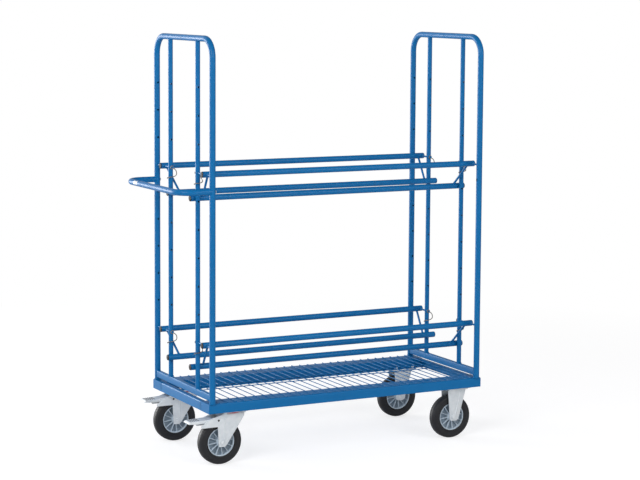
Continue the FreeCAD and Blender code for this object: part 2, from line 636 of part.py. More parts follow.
def make_seal(doc, name, x, y):
    """Fit the dust seal ring round the race."""
    low = "(Sizes.crown_top + Sizes.air)"
    height = f"Sizes.base_low - Sizes.plate_sheet - {low}"
    outer = rod(doc, f"{name}_seal_outer", "Sizes.seal_outer", height, (x, y, low))
    inner = rod(doc, f"{name}_seal_inner", "Sizes.race_radius", "20", (x, y, f"{low} - 5"))
    return cut(doc, f"{name}_seal", outer, [inner])


def make_pedal(doc, name, x, y):
    """Fold the brake pedal: tread with a closed lip, two cheeks and the two pivot studs."""
    far = "300"
    pivot = f"({far} - Sizes.trail - Sizes.pivot_back)"
    tip = f"({far} - Sizes.trail - Sizes.pedal_reach)"
    level = "Sizes.pivot_level"
    corners = [(f"{pivot} + 7", f"{level} - 5"), (f"{pivot} + 7", f"{level} + 5"),
               (f"{pivot} - 12", f"{level} + 9"), (f"{tip} + 8", f"{level} + 3"),
               (tip, f"{level} - 4"), (f"{tip} + 3", f"{level} - 6"),
               (f"{tip} + Sizes.pedal_lip + 8", f"{level} - 8"), (f"{pivot} - 14", f"{level} - 7")]
    width = "(Sizes.fork_gap - 2 * Sizes.air)"
    skin = side_plate(doc, f"{name}_pedal_block", corners, f"{x} - {far}", y, width)
    inside = f"({width} - 2 * Sizes.pedal_sheet)"
    run = f"({pivot} + 10 - {tip} - Sizes.pedal_lip)"
    hollow = block(doc, f"{name}_pedal_hollow", (run, inside, "40"),
                   (f"{x} - {far} + {tip} + Sizes.pedal_lip + {run} / 2", y, f"{level} - 40"))
    notch = block(doc, f"{name}_pedal_notch", ("Sizes.tread_end", inside, "40"),
                  (f"{x} - Sizes.trail - Sizes.tread_end / 2", y, f"{level} - 20"))
    studs = [rod(doc, f"{name}_stud_{i}", "Sizes.pivot_radius",
                 "Sizes.fork_sheet + Sizes.pedal_sheet - Sizes.stud_sink",
                 (f"{x} - Sizes.trail - Sizes.pivot_back", start, level), "y")
             for i, start in enumerate((
                 f"{y} - Sizes.fork_gap / 2 - Sizes.fork_sheet + Sizes.stud_sink + Sizes.air",
                 f"{y} + Sizes.fork_gap / 2 - Sizes.pedal_sheet - Sizes.air"))]
    folded = cut(doc, f"{name}_pedal_fold", skin, [hollow, notch])
    return fuse(doc, f"{name}_pedal", [folded] + studs)


def make_fixed_fork(doc, name, x, y):
    """Press the fixed housing: bolt plate and two tapering legs in one."""
    far = "200"
    axle = f"{far} - Sizes.fixed_plate_shift"
    under = "Sizes.base_low - Sizes.plate_sheet"
    corners = [(f"{axle} - 16", "Sizes.wheel_radius - 12"),
               (f"{axle} - 8", "Sizes.wheel_radius - 17"),
               (f"{axle} + 18", "Sizes.wheel_radius - 17"),
               (f"{axle} + 28", "Sizes.wheel_radius - 10"),
               (f"{axle} + 68", under), (f"{axle} - 28", under)]
    legs = side_plate(doc, f"{name}_legs", corners, f"{x} - {far}", y,
                      "Sizes.fork_gap + 2 * Sizes.fork_sheet")
    hollow = block(doc, f"{name}_fork_hollow", ("400", "Sizes.fork_gap", f"{under} - 4"),
                   (x, y, "0"))
    bridge = cut(doc, f"{name}_bridge", legs, [hollow])
    sheet = block(doc, f"{name}_plate_sheet", ("Sizes.plate_length", "Sizes.plate_width",
                  "Sizes.plate_sheet"), (x, y, under))
    pin = rod(doc, f"{name}_fork_axle", "Sizes.axle_radius", "100",
              (f"{x} - Sizes.fixed_plate_shift", f"{y} - 50", "Sizes.wheel_radius"), "y")
    holes = [rod(doc, f"{name}_hole_{i}", "Sizes.bolt_radius", "10", (a, b, f"{under} - 3"))
             for i, (a, b) in enumerate(bolt_spots("right", y))]
    whole = fuse(doc, f"{name}_whole", [bridge, sheet])
    return cut(doc, f"{name}_fork", whole, [pin] + holes)


def make_caster_bolts(doc):
    """Bolt every caster plate up through its rail."""
    bolts = []
    low = "(Sizes.base_low - Sizes.plate_sheet)"
    for end in ENDS:
        for side in SIDES:
            for i, (x, y) in enumerate(bolt_spots(end, caster_row(side))):
                name = f"{end}_{side}_bolt_{i}"
                head = hexagon(doc, f"{name}_head", "Sizes.nut_radius", "Sizes.nut_height",
                               (x, y, f"{low} - Sizes.nut_height"))
                shank = rod(doc, f"{name}_shank", "Sizes.bolt_radius",
                            "Sizes.plate_sheet + Sizes.caster_rail_sheet + Sizes.nut_height + 2",
                            (x, y, low))
                nut = hexagon(doc, f"{name}_nut", "Sizes.nut_radius", "Sizes.nut_height",
                              (x, y, "Sizes.base_low + Sizes.caster_rail_sheet"))
                bolts.append(fuse(doc, name, [head, shank, nut]))
    return group(doc, "caster_bolts", bolts)


def make_casters(doc):
    """Swivel casters with brakes on the left, fixed ones on the right."""
    nodes = [make_caster_bolts(doc)]
    for side in SIDES:
        y = caster_row(side)
        name, x = f"{side}_swivel", plate_spots("left")
        nodes += [make_swivel_plate(doc, name, x, y), make_seal(doc, name, x, y),
                  make_swivel_fork(doc, name, x, y), make_pedal(doc, name, x, y)]
        nodes += make_wheel(doc, name, f"({x} - Sizes.trail)", y)
        name, x = f"{side}_fixed", plate_spots("right")
        nodes.append(make_fixed_fork(doc, name, x, y))
        nodes += make_wheel(doc, name, f"({x} - Sizes.fixed_plate_shift)", y)
    return nodes


def write_parts(doc, nodes):
    """Check every object, then write one STEP file per piece."""
    os.makedirs("parts", exist_ok=True)
    for obj in doc.Objects:
        if {"Invalid", "Error"} & set(obj.State):
            raise RuntimeError(f"{obj.Label}: {obj.State}")
    for node in nodes:
        if node.Shape.isNull() or not node.Shape.isValid():
            raise RuntimeError(f"{node.Label}: shape is not sound")
        node.Shape.exportStep(f"parts/{node.Label}.step")
    print(len(nodes), "parts")


def main():
    """Build the rack."""
    doc = FreeCAD.newDocument("TyreRack")
    sheet = make_sheet(doc)
    nodes = make_deck(doc) + make_frames(doc) + [make_handle(doc), make_handle_bolts(doc)]
    nodes += make_tiers(doc, sheet) + make_casters(doc)
    doc.recompute()
    write_parts(doc, nodes)


main()
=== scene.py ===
"""Looks of the mobile tyre storage rack: finishes, detailed pieces, studio and camera.

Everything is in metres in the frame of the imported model: +X along the rack towards the fixed
casters, +Y to the back, +Z up from the floor.
"""

import json
import logging
import math
from collections.abc import Callable
from dataclasses import dataclass
from enum import Enum

import bmesh
import bpy
from mathutils import Matrix, Vector


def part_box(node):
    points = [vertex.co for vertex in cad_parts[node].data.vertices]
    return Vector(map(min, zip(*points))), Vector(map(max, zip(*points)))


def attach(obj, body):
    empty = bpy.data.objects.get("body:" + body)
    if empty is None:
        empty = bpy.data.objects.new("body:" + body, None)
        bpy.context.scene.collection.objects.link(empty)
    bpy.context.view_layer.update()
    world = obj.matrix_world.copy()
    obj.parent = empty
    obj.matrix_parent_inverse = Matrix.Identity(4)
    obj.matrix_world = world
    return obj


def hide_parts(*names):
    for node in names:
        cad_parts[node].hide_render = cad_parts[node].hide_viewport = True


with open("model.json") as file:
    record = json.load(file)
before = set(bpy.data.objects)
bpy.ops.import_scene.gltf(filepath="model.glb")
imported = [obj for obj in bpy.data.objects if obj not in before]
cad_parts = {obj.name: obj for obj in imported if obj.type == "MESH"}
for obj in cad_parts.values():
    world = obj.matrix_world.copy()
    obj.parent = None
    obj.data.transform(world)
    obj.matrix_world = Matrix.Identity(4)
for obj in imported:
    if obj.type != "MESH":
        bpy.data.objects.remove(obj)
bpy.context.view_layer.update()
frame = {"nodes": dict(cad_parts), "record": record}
LOG = logging.getLogger("tyre_rack")
MM = 0.001
ROOT = "rack"
TUBE_RADIUS = 13.45 * MM


class Side(Enum):
    """The two long sides of the rack."""

    FRONT = "front"
    BACK = "back"

    @property
    def inward(self) -> int:
        """The sign of Y that points from this side to the middle."""
        return 1 if self is Side.FRONT else -1


class End(Enum):
    """The two ends of the rack."""

    LEFT = "left"
    RIGHT = "right"

    @property
    def outward(self) -> int:
        """The sign of X that points out of the rack at this end."""
        return -1 if self is End.LEFT else 1


class Tier(Enum):
    """The two levels that carry tyres."""

    LOWER = "lower"
    UPPER = "upper"


class CasterKind(Enum):
    """The casters at the handle end swivel; those at the other end are fixed."""

    SWIVEL = "swivel"
    FIXED = "fixed"


def linear(code: str) -> tuple[float, float, float, float]:
    """Turn an sRGB hex colour into linear RGBA.

    Args:
        code: six hex digits after a hash.

    Returns:
        Linear red, green, blue and an alpha of 1.
    """
    parts = [int(code[i:i + 2], 16) / 255 for i in (1, 3, 5)]
    bent = [c / 12.92 if c <= 0.04045 else ((c + 0.055) / 1.055) ** 2.4 for c in parts]
    return (*bent, 1.0)


def add_node(tree: bpy.types.NodeTree, kind: str, settings: dict | None = None,
             links: dict | None = None) -> bpy.types.Node:
    """Add one shader node.

    Args:
        tree: the tree that gets the node.
        kind: Blender's name of the node type.
        settings: plain attributes by name, and socket values by name or number.
        links: output sockets by the name or number of the input they feed.

    Returns:
        The new node.
    """
    node = tree.nodes.new(kind)
    for name, value in (settings or {}).items():
        if isinstance(name, str) and hasattr(node, name):
            setattr(node, name, value)
        else:
            node.inputs[name].default_value = value
    for name, source in (links or {}).items():
        tree.links.new(source, node.inputs[name])
    return node


def new_material(name: str) -> tuple[bpy.types.Material, bpy.types.NodeTree]:
    """Start a node material with nothing in its tree.

    Args:
        name: the finish's name.

    Returns:
        The material and its tree.
    """
    material = bpy.data.materials.new(name)
    material.use_nodes = True
    material.node_tree.nodes.clear()
    return material, material.node_tree


def per_metre(size_mm: float) -> float:
    """The texture scale that makes one feature this many millimetres wide."""
    return 1000.0 / size_mm


@dataclass(frozen=True)
class Finish:
    """A finish: plain shader values with fine noise in colour, roughness and bump.

    Colour, roughness and bump each vary by their own noise, whose grain is a real size.
    """

    name: str
    colour: str
    shade: str
    roughness: float
    roughness_swing: float
    metallic: float = 0.0
    ior: float = 1.5
    coat: float = 0.0
    patch_mm: float = 90.0
    grain_mm: float = 1.2
    grain_height: float = 0.05

    def colour_map(self, tree: bpy.types.NodeTree, place: bpy.types.Node,
                   patch: bpy.types.Node) -> bpy.types.NodeSocket:
        """Mix the two colours of the finish by its slow noise.

        Args:
            tree: the material's tree.
            place: the texture coordinates; not used here.
            patch: the slow noise.

        Returns:
            The colour socket for the shader.
        """
        colour = add_node(tree, "ShaderNodeMix", {"data_type": "RGBA", 6: linear(self.colour),
                                                  7: linear(self.shade)}, {0: patch.outputs["Fac"]})
        return colour.outputs[2]

    def build(self) -> bpy.types.Material:
        """Make the material.

        Returns:
            The finished node material.
        """
        material, tree = new_material(self.name)
        place = add_node(tree, "ShaderNodeTexCoord")
        patch = add_node(tree, "ShaderNodeTexNoise", {"Scale": per_metre(self.patch_mm), "Detail": 4.0},
                         {"Vector": place.outputs["Object"]})
        grain = add_node(tree, "ShaderNodeTexNoise", {"Scale": per_metre(self.grain_mm), "Detail": 2.0},
                         {"Vector": place.outputs["Object"]})
        rough = add_node(tree, "ShaderNodeMapRange",
                         {"To Min": self.roughness - self.roughness_swing,
                          "To Max": self.roughness + self.roughness_swing}, {0: patch.outputs["Fac"]})
        bump = add_node(tree, "ShaderNodeBump", {"Strength": self.grain_height, "Distance": 0.4 * MM},
                        {"Height": grain.outputs["Fac"]})
        shader = add_node(tree, "ShaderNodeBsdfPrincipled",
                          {"Metallic": self.metallic, "Coat Weight": self.coat, "Coat Roughness": 0.12},
                          {"Base Color": self.colour_map(tree, place, patch), "Roughness": rough.outputs[0],
                           "Normal": bump.outputs[0]})
        if self.metallic < 0.5:
            shader.inputs["IOR"].default_value = self.ior
        add_node(tree, "ShaderNodeOutputMaterial", {}, {0: shader.outputs[0]})
        return material


@dataclass(frozen=True)
class RecessShadeFinish(Finish):
    """A moulded wheel's finish with painted shade that darkens it in its recesses.

    The wheels roll in two planes, the same distance in front of and behind the rack's middle, so
    the depth of a point in its wheel is how far its Y is from those planes.
    """

    plane_m: float = 0.25
    shallow_mm: float = 15.0
    deep_mm: float = 4.0
    # The colour of the painted shade in the wheel's recesses.
    recess_shade: str = "#82919F"

    def colour_map(self, tree: bpy.types.NodeTree, place: bpy.types.Node,
                   patch: bpy.types.Node) -> bpy.types.NodeSocket:
        """Darken the mixed colour towards the web of the wheel with painted shade.

        Args:
            tree: the material's tree.
            place: the texture coordinates.
            patch: the slow noise.

        Returns:
            The colour socket for the shader.
        """
        unshaded = super().colour_map(tree, place, patch)
        split = add_node(tree, "ShaderNodeSeparateXYZ", {}, {0: place.outputs["Object"]})
        side = add_node(tree, "ShaderNodeMath", {"operation": "ABSOLUTE"}, {0: split.outputs["Y"]})
        offset = add_node(tree, "ShaderNodeMath", {"operation": "SUBTRACT", 1: self.plane_m},
                          {0: side.outputs[0]})
        depth = add_node(tree, "ShaderNodeMath", {"operation": "ABSOLUTE"}, {0: offset.outputs[0]})
        share = add_node(tree, "ShaderNodeMapRange",
                         {"From Min": self.deep_mm * MM, "From Max": self.shallow_mm * MM,
                          "To Min": 1.0, "To Max": 0.0}, {0: depth.outputs[0]})
        # Painted shade: the deeper a point lies in the wheel, the more its colour turns to the recess shade.
        mixed = add_node(tree, "ShaderNodeMix", {"data_type": "RGBA", 7: linear(self.recess_shade)},
                         {0: share.outputs[0], 6: unshaded})
        return mixed.outputs[2]


# Polyester powder coat, sprayed and baked on steel: even gentian blue, semi-gloss, with the
# faint orange peel of powder coat that breaks up the edge of each highlight.
POWDER_COAT = Finish("powder_coat_blue", "#006BA8", "#00629E", 0.38, 0.05, ior=1.32, coat=0.02,
                     patch_mm=160, grain_mm=2.4, grain_height=0.06)
# Bright zinc plating on pressed steel: pale, a little cloudy from the plating bath, so it
# scatters part of the light like paint and mirrors the rest softly.
ZINC = Finish("bright_zinc_plate", "#F1F4F6", "#CDD6DE", 0.42, 0.10, metallic=0.30,
              patch_mm=26, grain_mm=1.6, grain_height=0.06)
# Zinc plated spring wire, drawn through a die: duller than sheet, greyer where it was coiled.
SPRING_WIRE = Finish("zinc_spring_wire", "#A19C95", "#77726C", 0.34, 0.08, metallic=0.7,
                     patch_mm=9, grain_mm=0.8, grain_height=0.08)
# Solid elastic rubber, moulded: near black, matt, with a slight bloom that greys it in patches.
RUBBER = Finish("solid_black_rubber", "#111218", "#191A20", 0.55, 0.08, ior=1.52,
                patch_mm=22, grain_mm=1.0, grain_height=0.25)
# Polypropylene, injection moulded: blue grey, satin, with a fine eroded texture, and painted
# shade that darkens it between the ribs.
RIM_PLASTIC = RecessShadeFinish("moulded_grey_polypropylene", "#C2D0DC", "#B2C1CE", 0.42, 0.06,
                             ior=1.49, patch_mm=30, grain_mm=0.9, grain_height=0.10)
# Low density polyethylene, injection moulded: soft black that catches a dull highlight.
PLUG_PLASTIC = Finish("moulded_black_polyethylene", "#181416", "#221D1F", 0.60, 0.06, ior=1.40,
                      patch_mm=12, grain_mm=0.8, grain_height=0.15)
# Polyamide, injection moulded and dyed red: the dust seal ring of the swivel head.
SEAL_PLASTIC = Finish("moulded_red_polyamide", "#B5173F", "#A01236", 0.40, 0.05, ior=1.53,
                      patch_mm=14, grain_mm=0.8, grain_height=0.12)
# Blank paper label with a clear film: clean white, slightly glossy, a little creased.
LABEL_FILM = Finish("blank_label_film", "#F2F2EE", "#E6E6E0", 0.30, 0.05, ior=1.46,
                    patch_mm=8, grain_mm=3.0, grain_height=0.20)


class Palette:
    """All finishes, built once and handed out by slot name."""

    def __init__(self) -> None:
        """Build every finish."""
        self.by_slot: dict[str, bpy.types.Material] = {
            "blue_powder_coat": POWDER_COAT.build(),
            "zinc_plate": ZINC.build(),
            "spring_wire": SPRING_WIRE.build(),
            "wheel_rubber": RUBBER.build(),
            "rim_plastic": RIM_PLASTIC.build(),
            "black_plastic": PLUG_PLASTIC.build(),
            "red_seal": SEAL_PLASTIC.build(),
        }
        self.label = LABEL_FILM.build()

    def dress(self, obj: bpy.types.Object, slot: str) -> None:
        """Give an object one finish.

        Args:
            obj: the mesh object.
            slot: the record's slot name.
        """
        obj.data.materials.clear()
        obj.data.materials.append(self.by_slot[slot])


def dress_frame(palette: Palette) -> None:
    """Give every carried-over node the finish of its slot.

    Args:
        palette: the finishes.
    """
    for part in frame["record"]["subparts"]:
        node = frame["nodes"][part["node"]]
        palette.dress(node, part["material_slot"])
        for polygon in node.data.polygons:
            polygon.use_smooth = True


def new_piece(name: str, mesh: bpy.types.Mesh) -> bpy.types.Object:
    """Put a mesh into the scene as an object.

    Args:
        name: the piece's name.
        mesh: its mesh.

    Returns:
        The new object.
    """
    obj = bpy.data.objects.new(name, mesh)
    bpy.context.collection.objects.link(obj)
    return obj


def finish_mesh(work: bmesh.types.BMesh, name: str, crease: float = 32.0) -> bpy.types.Object:
    """Turn a bmesh into a smooth-shaded object with crisp edges.

    Args:
        work: the mesh under construction; it is freed.
        name: the piece's name.
        crease: faces that meet at more than this many degrees keep a crisp edge.

    Returns:
        The new object.
    """
    bmesh.ops.recalc_face_normals(work, faces=work.faces)
    mesh = bpy.data.meshes.new(name)
    work.to_mesh(mesh)
    work.free()
    for polygon in mesh.polygons:
        polygon.use_smooth = True
    mesh.set_sharp_from_angle(angle=math.radians(crease))
    return new_piece(name, mesh)


def bridge(work: bmesh.types.BMesh, first: list[bmesh.types.BMVert],
           second: list[bmesh.types.BMVert]) -> None:
    """Join two rings of as many points with a band of faces.

    Args:
        work: the mesh that gets the faces.
        first: one ring, in order.
        second: the other ring, in the same order.
    """
    for i, vert in enumerate(first):
        k = (i + 1) % len(first)
        work.faces.new((vert, first[k], second[k], second[i]))


def join_rings(work: bmesh.types.BMesh, rings: list[list[bmesh.types.BMVert]]) -> None:
    """Join a row of rings and cap both ends.

    Args:
        work: the mesh that gets the faces.
        rings: the rings, in order along the piece.
    """
    for first, second in zip(rings, rings[1:]):
        bridge(work, first, second)
    work.faces.new(list(reversed(rings[0])))
    work.faces.new(rings[-1])


def lathe(work: bmesh.types.BMesh, profile: list[tuple[float, float]], centre: Vector,
          steps: int = 96) -> None:
    """Revolve a closed profile about an axis that runs along Y.

    Args:
        work: the mesh that gets the faces.
        profile: radius and Y pairs in metres, in order round the section.
        centre: the middle of the wheel.
        steps: how many sections go round.
    """
    rings = []
    for i in range(steps):
        turn = math.tau * i / steps
        rings.append([work.verts.new(centre + Vector((r * math.cos(turn), y, r * math.sin(turn))))
                      for r, y in profile])
    for i, ring in enumerate(rings):
        bridge(work, ring, rings[(i + 1) % steps])


def mirror_profile(half: list[tuple[float, float]]) -> list[tuple[float, float]]:
    """Complete a half profile, drawn for positive Y, on the other side of the middle plane."""
    return half + [(r, -y) for r, y in reversed(half)]


def softened(node: str, edge_mm: float) -> bpy.types.Object:
    """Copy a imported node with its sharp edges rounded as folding, sawing or moulding leaves them.

    Args:
        node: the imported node.
        edge_mm: the rounding in millimetres.

    Returns:
        The new object, which replaces the node.
    """
    same_point, flat, sharp_edge = 2e-6, math.radians(0.8), math.radians(28)
    work = bmesh.new()
    work.from_mesh(frame["nodes"][node].data)
    bmesh.ops.remove_doubles(work, verts=work.verts, dist=same_point)
    bmesh.ops.dissolve_limit(work, angle_limit=flat, verts=work.verts, edges=work.edges)
    sharp = [e for e in work.edges if len(e.link_faces) == 2 and e.calc_face_angle(0.0) > sharp_edge]
    bmesh.ops.bevel(work, geom=sharp, offset=edge_mm * MM, segments=2, profile=0.5,
                    affect="EDGES", clamp_overlap=True)
    obj = finish_mesh(work, f"{node}_formed", 40)
    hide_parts(node)
    return obj


def body_of_node(node: str) -> str:
    """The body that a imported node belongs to."""
    groups = frame["record"]["behaviour"]["bodies"]
    return next(body for body, members in groups.items() if node in members)


def settle(obj: bpy.types.Object, palette: Palette, slot: str, body: str = ROOT) -> None:
    """Dress a new piece in its slot's finish and let it ride on a body.

    Args:
        obj: the piece.
        palette: the finishes.
        slot: the record's slot name.
        body: the body it moves with.
    """
    palette.dress(obj, slot)
    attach(obj, body)
    LOG.info("built %s", obj.name)


def arc_points(centre: tuple[float, float], radius: float, start: float, stop: float,
               steps: int) -> list[tuple[float, float]]:
    """Points along an arc in a section plane.

    Args:
        centre: the arc's centre.
        radius: its radius.
        start: the first direction in degrees.
        stop: the last direction in degrees.
        steps: how many segments.

    Returns:
        The points, both ends included.
    """
    turns = [math.radians(start + (stop - start) * i / steps) for i in range(steps + 1)]
    return [(centre[0] + radius * math.cos(t), centre[1] + radius * math.sin(t)) for t in turns]


def extrude(work: bmesh.types.BMesh, outline: list[tuple[float, float]],
            ends: tuple[Callable[[float, float], Vector], Callable[[float, float], Vector]]) -> None:
    """Run a closed outline from one end to the other and cap both.

    Args:
        work: the mesh that gets the faces.
        outline: the section's points in order.
        ends: for each end, what turns a section point into a place in space.
    """
    join_rings(work, [[work.verts.new(end(a, b)) for a, b in outline] for end in ends])


@dataclass(frozen=True)
class Tube:
    """A straight round tube that another one is welded to."""

    middle: Vector
    along: Vector
    radius: float

    def reach(self, start: Vector, way: Vector) -> float:
        """How far from start, along way, the outside of the tube is met.

        Args:
            start: a point outside the tube.
            way: a unit direction.

        Returns:
            The distance; the nearest approach where the line passes by.
        """
        gap = start - self.middle
        gap -= self.along * gap.dot(self.along)
        flat = way - self.along * way.dot(self.along)
        a, b = flat.dot(flat), gap.dot(flat)
        inside = b * b - a * (gap.dot(gap) - self.radius ** 2)
        return (-b - math.sqrt(max(inside, 0.0))) / a


@dataclass(frozen=True)
class Face:
    """A flat surface that a tube is welded to."""

    point: Vector
    normal: Vector

    def reach(self, start: Vector, way: Vector) -> float:
        """How far from start, along way, the surface is met."""
        return (self.point - start).dot(self.normal) / way.dot(self.normal)


@dataclass
class Seams:
    """Fillet welds, laid as beads with the overlapping ripples of a hand-held torch."""

    thickness: float = 2.1 * MM
    ripple: float = 3.2 * MM
    ripple_swing: float = 0.16
    sides: int = 8

    def bead(self, work: bmesh.types.BMesh, route: list[Vector]) -> None:
        """Lay one bead that runs round to its start.

        Args:
            work: the mesh that gets the bead.
            route: its points, evenly spaced.
        """
        count = len(route)
        rings, side = [], None
        travelled = 0.0
        for i, point in enumerate(route):
            before, after = route[i - 1], route[(i + 1) % count]
            ahead = (after - before).normalized()
            side = ahead.orthogonal().normalized() if side is None else side
            side = (side - ahead * side.dot(ahead)).normalized()
            up = ahead.cross(side)
            swell = 1.0 + self.ripple_swing * math.cos(math.tau * travelled / self.ripple)
            travelled += (after - before).length / 2
            size = self.thickness * swell
            rings.append([work.verts.new(point + (side * math.cos(t) + up * math.sin(t)) * size)
                          for t in (math.tau * k / self.sides for k in range(self.sides))])
        for i, ring in enumerate(rings):
            bridge(work, ring, rings[(i + 1) % count])

    def round_joint(self, work: bmesh.types.BMesh, start: Vector, way: Vector, radius: float,
                    target: Tube | Face, steps: int = 44) -> None:
        """Weld the end of a round bar or tube all round to what it runs into.

        Args:
            work: the mesh that gets the bead.
            start: a point on the bar's axis, clear of the target.
            way: the unit direction of the bar towards the target.
            radius: the bar's radius.
            target: the tube or face it meets.
            steps: how many points go round.
        """
        side = way.orthogonal().normalized()
        up = way.cross(side)
        route = []
        for i in range(steps):
            turn = math.tau * i / steps
            edge = start + (side * math.cos(turn) + up * math.sin(turn)) * (radius + 0.3 * self.thickness)
            route.append(edge + way * (target.reach(edge, way) - 0.2 * self.thickness))
        self.bead(work, route)


@dataclass
class DeckFrame:
    """The folded steel edges of the deck, the flat caster rails and the mat's weld spots."""

    sheet: float = 4 * MM
    fold: float = 6 * MM
    lip: float = 34 * MM
    mat_wire: float = 2.0 * MM
    mat_pitch: float = 41.1 * MM
    spot_radius: float = 3.4 * MM
    spot_height: float = 1.3 * MM

    def folded_outline(self, depth: float, height: float, lip: float) -> list[tuple[float, float]]:
        """The section of a folded edge: web outside, flange on top, both measured from the corner.

        Args:
            depth: how far the flange reaches inward.
            height: the height of the web.
            lip: how far the flange's inner side is folded down; 0 leaves it straight.

        Returns:
            The section as inward and upward distances.
        """
        skin, bend = self.sheet, self.fold
        nose = 0.8 * MM
        inner = bend - skin
        edge = [(depth - nose, height - skin), (depth, height - skin + nose),
                (depth, height - nose), (depth - nose, height)]
        if lip:
            edge = (arc_points((depth - bend, height - bend), inner, 90, 0, 4)
                    + [(depth - skin, height - lip + nose), (depth - skin + nose, height - lip),
                       (depth - nose, height - lip), (depth, height - lip + nose)]
                    + arc_points((depth - bend, height - bend), bend, 0, 90, 7))
        return ([(nose, 0), (skin - nose, 0), (skin, nose)]
                + arc_points((skin + inner, height - skin - inner), inner, 180, 90, 4)
                + edge + arc_points((bend, height - bend), bend, 90, 180, 7) + [(0, nose)])

    def long_edge(self, side: Side) -> bpy.types.Object:
        """Fold one long edge of the deck.

        Args:
            side: the side of the rack that it runs along.

        Returns:
            The edge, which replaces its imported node.
        """
        low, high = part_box(f"{side.value}_member")
        outer = low.y if side is Side.FRONT else high.y
        outline = self.folded_outline(high.y - low.y, high.z - low.z, self.lip)
        work = bmesh.new()
        extrude(work, outline, tuple(
            (lambda a, b, x=x: Vector((x, outer + side.inward * a, low.z + b))) for x in (low.x, high.x)))
        obj = finish_mesh(work, f"{side.value}_member_folded")
        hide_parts(f"{side.value}_member")
        return obj

    def short_edge(self, end: End) -> bpy.types.Object:
        """Fold one short edge, whose flange stops at the flanges of the long edges.

        Args:
            end: the end of the rack that it closes.

        Returns:
            The edge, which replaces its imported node.
        """
        low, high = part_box(f"{end.value}_member")
        reach = -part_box("front_member")[1].y
        outer = low.x if end is End.LEFT else high.x
        inward = -end.outward
        skin = self.sheet
        plain = [(0, 0), (skin, 0), (skin, high.z - low.z - skin), (0, high.z - low.z - skin)]
        stretches = [(self.folded_outline(high.x - low.x, high.z - low.z, 0), -reach, reach),
                     (plain, low.y, -reach), (plain, reach, high.y)]
        work = bmesh.new()
        for outline, start, stop in stretches:
            extrude(work, outline, tuple(
                (lambda a, b, y=y: Vector((outer + inward * a, y, low.z + b))) for y in (start, stop)))
        obj = finish_mesh(work, f"{end.value}_member_folded")
        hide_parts(f"{end.value}_member")
        return obj

    def weld_spots(self) -> bpy.types.Object:
        """Press a small nugget at every crossing of the mat's wires.

        Returns:
            All nuggets as one piece.
        """
        low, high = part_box("mesh_cross_wires")
        long_low, long_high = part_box("mesh_long_wires")
        first, last = low.x + self.mat_wire, high.x - self.mat_wire
        gaps = round((last - first) / self.mat_pitch)
        level = low.z + 2 * self.mat_wire
        shape = Matrix.Diagonal((self.spot_radius, self.spot_radius, self.spot_height, 1.0))
        work = bmesh.new()
        for i in range(gaps + 1):
            for y in (long_low.y + self.mat_wire, long_high.y - self.mat_wire):
                spot = Vector((first + (last - first) * i / gaps, y, level))
                bmesh.ops.create_icosphere(work, subdivisions=2, radius=1.0,
                                           matrix=Matrix.Translation(spot) @ shape)
        return finish_mesh(work, "mat_weld_spots")

    def build(self, palette: Palette) -> None:
        """Build the deck's edges, its caster rails and the mat's weld spots.

        Args:
            palette: the finishes.
        """
        for side in Side:
            settle(self.long_edge(side), palette, "blue_powder_coat")
            settle(softened(f"{side.value}_caster_rail", 0.8), palette, "blue_powder_coat")
        for end in End:
            settle(self.short_edge(end), palette, "blue_powder_coat")
        settle(self.weld_spots(), palette, "blue_powder_coat")


